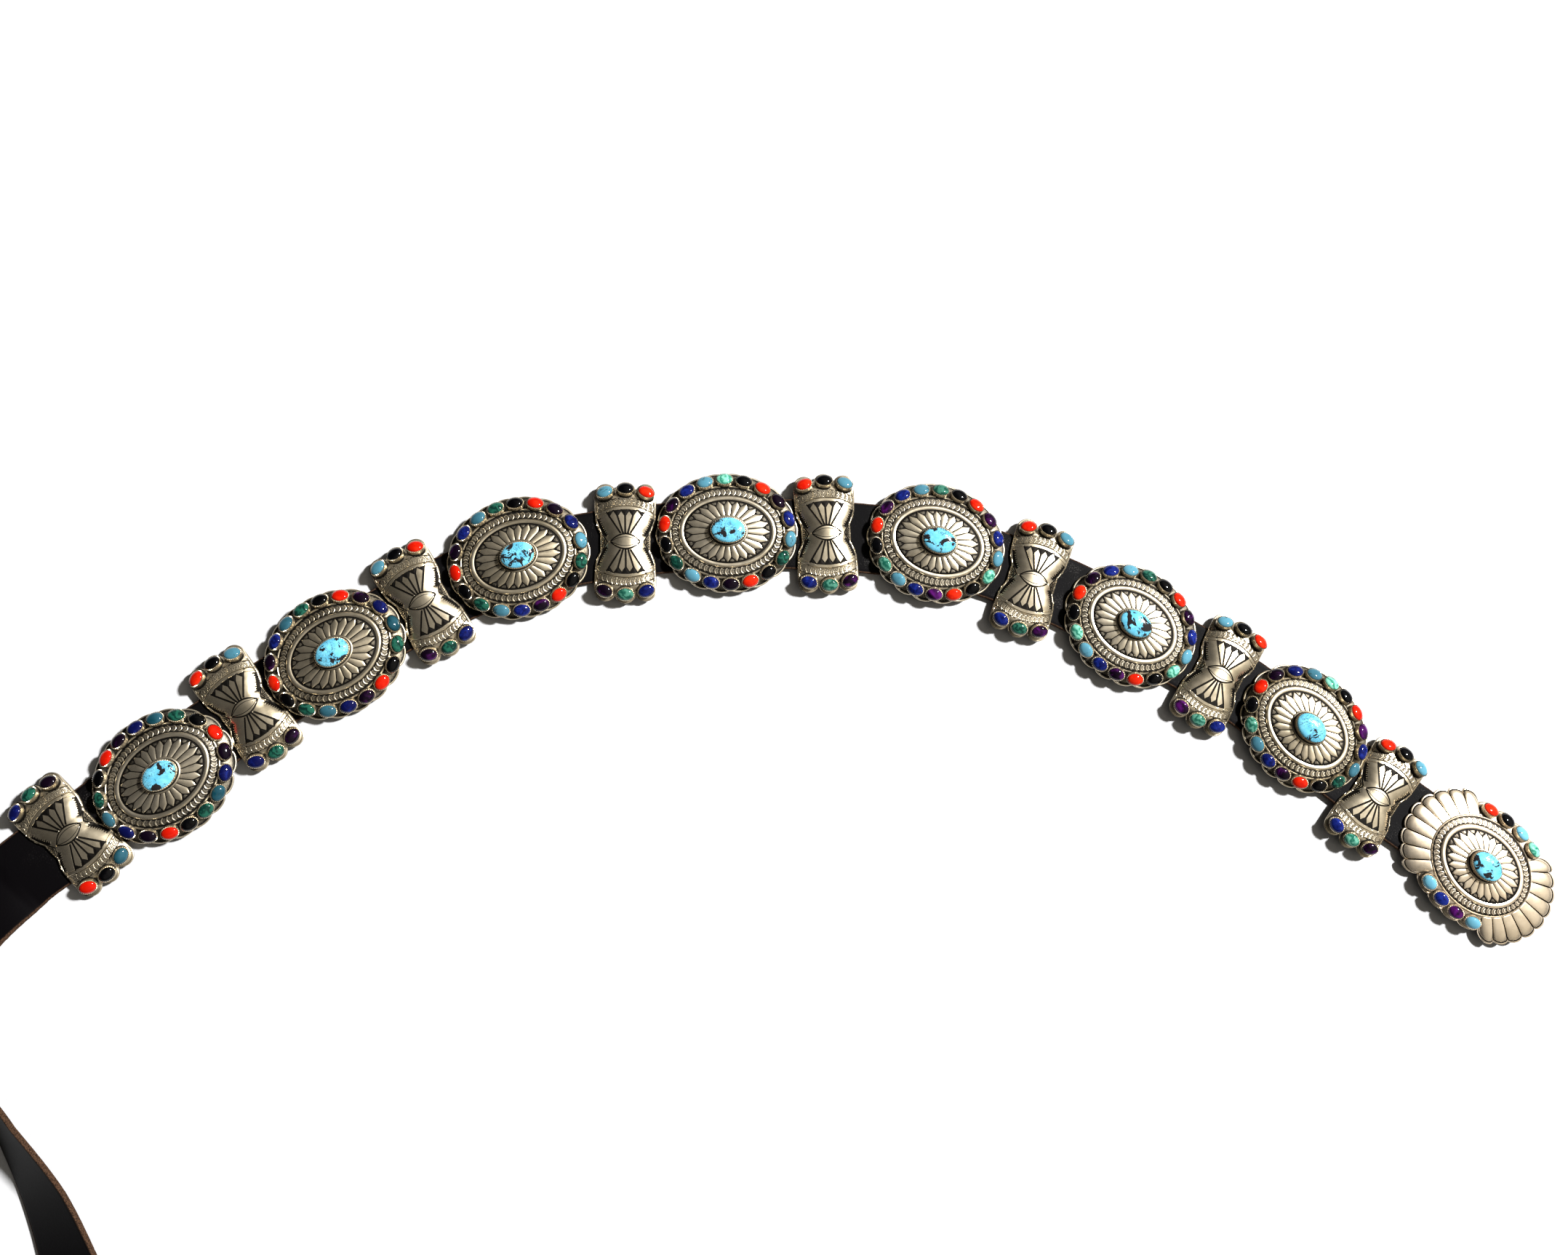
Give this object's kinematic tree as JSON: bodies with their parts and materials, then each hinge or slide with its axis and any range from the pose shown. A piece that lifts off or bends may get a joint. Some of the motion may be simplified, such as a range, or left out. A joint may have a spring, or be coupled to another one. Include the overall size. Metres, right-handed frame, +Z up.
{
  "type": "concho belt",
  "caption": "Silver concho belt with stone-set oval conchos, butterfly spacers and a fanned buckle on a black leather strap, laid flat with the strap's tail turned up on edge.",
  "frame": {"origin": "middle of the belt's footprint, on the surface that it lies on", "axes": "+Z up from the surface, +X along the belt's longest extent towards the buckle, +Y away from the viewer of the picture"},
  "size_m": [0.902, 0.4492, 0.0373],
  "materials": {
    "silver": "polished silver with dark oxidised recesses",
    "turquoise": "polished, with black matrix",
    "coral": "polished cabochon",
    "lapis": "polished cabochon",
    "malachite": "polished cabochon, banded",
    "onyx": "polished cabochon",
    "amethyst": "polished dark cabochon",
    "leather": "smooth black grain, worn between the conchos, with brown raw edges"
  },
  "bodies": {
    "root": {"strap": "leather", "concho_1": "silver", "concho_2": "silver", "concho_3": "silver", "concho_4": "silver", "concho_5": "silver", "concho_6": "silver", "concho_7": "silver", "turquoise_1": "turquoise", "turquoise_2": "turquoise", "turquoise_3": "turquoise", "turquoise_4": "turquoise", "turquoise_5": "turquoise", "turquoise_6": "turquoise", "turquoise_7": "turquoise", "butterfly_1": "silver", "butterfly_2": "silver", "butterfly_3": "silver", "butterfly_4": "silver", "butterfly_5": "silver", "butterfly_6": "silver", "butterfly_7": "silver", "butterfly_8": "silver", "buckle": "silver", "buckle_turquoise": "turquoise"}
  },
  "joints": []
}
